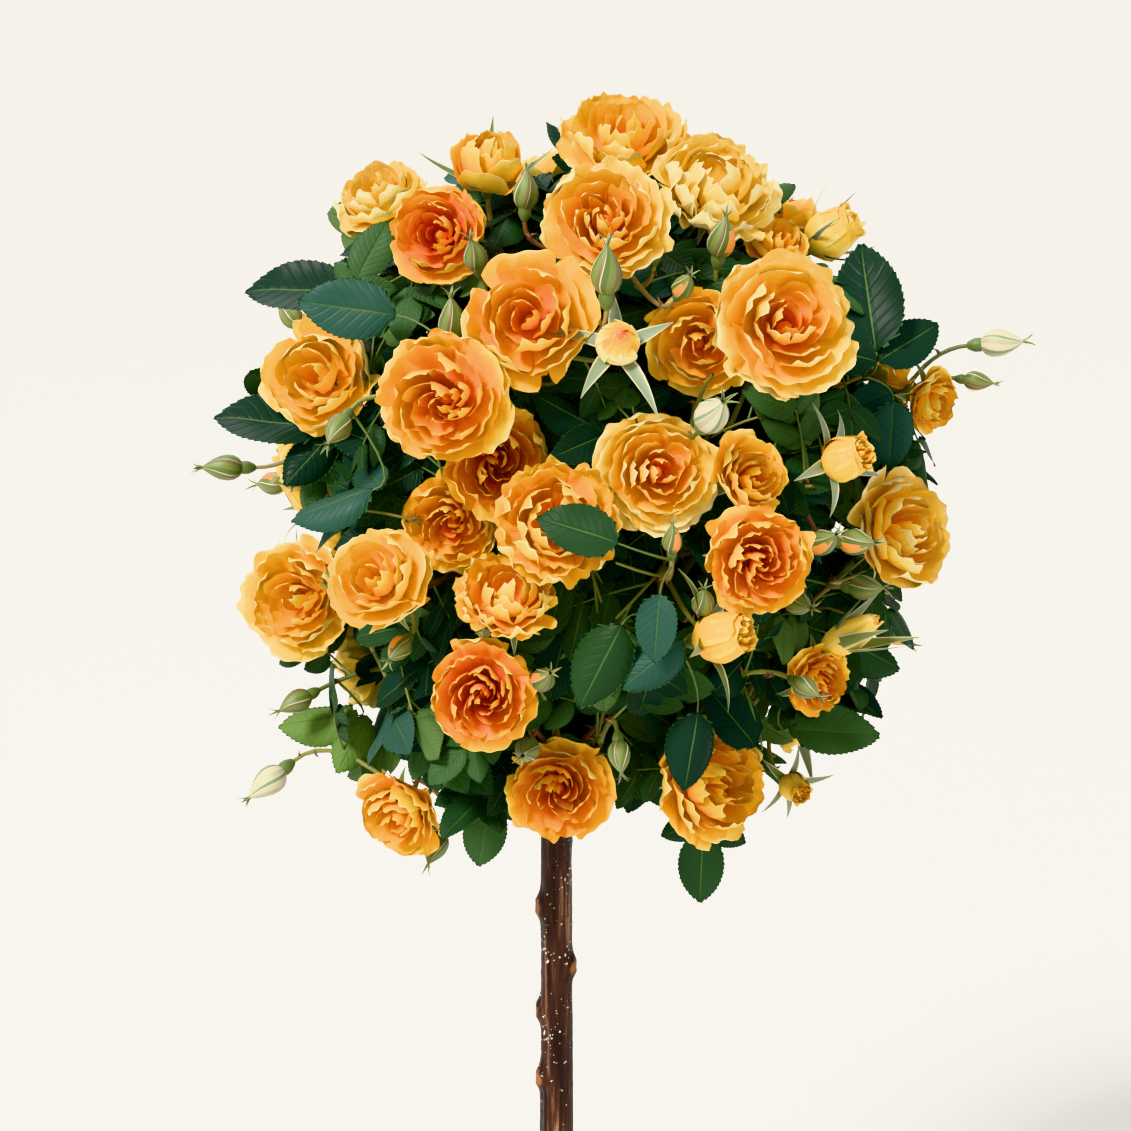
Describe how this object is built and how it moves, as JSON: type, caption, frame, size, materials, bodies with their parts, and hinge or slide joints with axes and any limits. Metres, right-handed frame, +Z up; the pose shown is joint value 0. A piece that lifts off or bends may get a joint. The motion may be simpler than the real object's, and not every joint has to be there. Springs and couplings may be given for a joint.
{
  "type": "standard rose bush",
  "caption": "Standard rose: a bare upright stem with a round head of canes, dark compound leaves, double golden flowers and buds.",
  "frame": {"origin": "centre of the flat cut under the stem, at ground level", "axes": "+Z up along the stem, -Y towards the front, +X to the right as seen from the front"},
  "size_m": [0.5262, 0.4624, 1.0358],
  "materials": {
    "bark": "rough brown bark with cut stubs",
    "cane": "smooth olive green bark",
    "foliage": "glossy dark green leaves, golden orange petals and pale green buds"
  },
  "bodies": {
    "root": {"stem": "bark", "cane_top": "cane", "cane_high_front_left": "cane", "cane_high_front_right": "cane", "cane_high_right": "cane", "cane_high_back": "cane", "cane_high_left": "cane", "cane_low_front": "cane", "cane_low_front_right": "cane", "cane_low_back_right": "cane", "cane_low_back": "cane", "cane_low_back_left": "cane", "cane_low_front_left": "cane", "foliage_top": "foliage", "foliage_high_front_left": "foliage", "foliage_high_front_right": "foliage", "foliage_high_right": "foliage", "foliage_high_back": "foliage", "foliage_high_left": "foliage", "foliage_low_front": "foliage", "foliage_low_front_right": "foliage", "foliage_low_back_right": "foliage", "foliage_low_back": "foliage", "foliage_low_back_left": "foliage", "foliage_low_front_left": "foliage"}
  },
  "joints": []
}
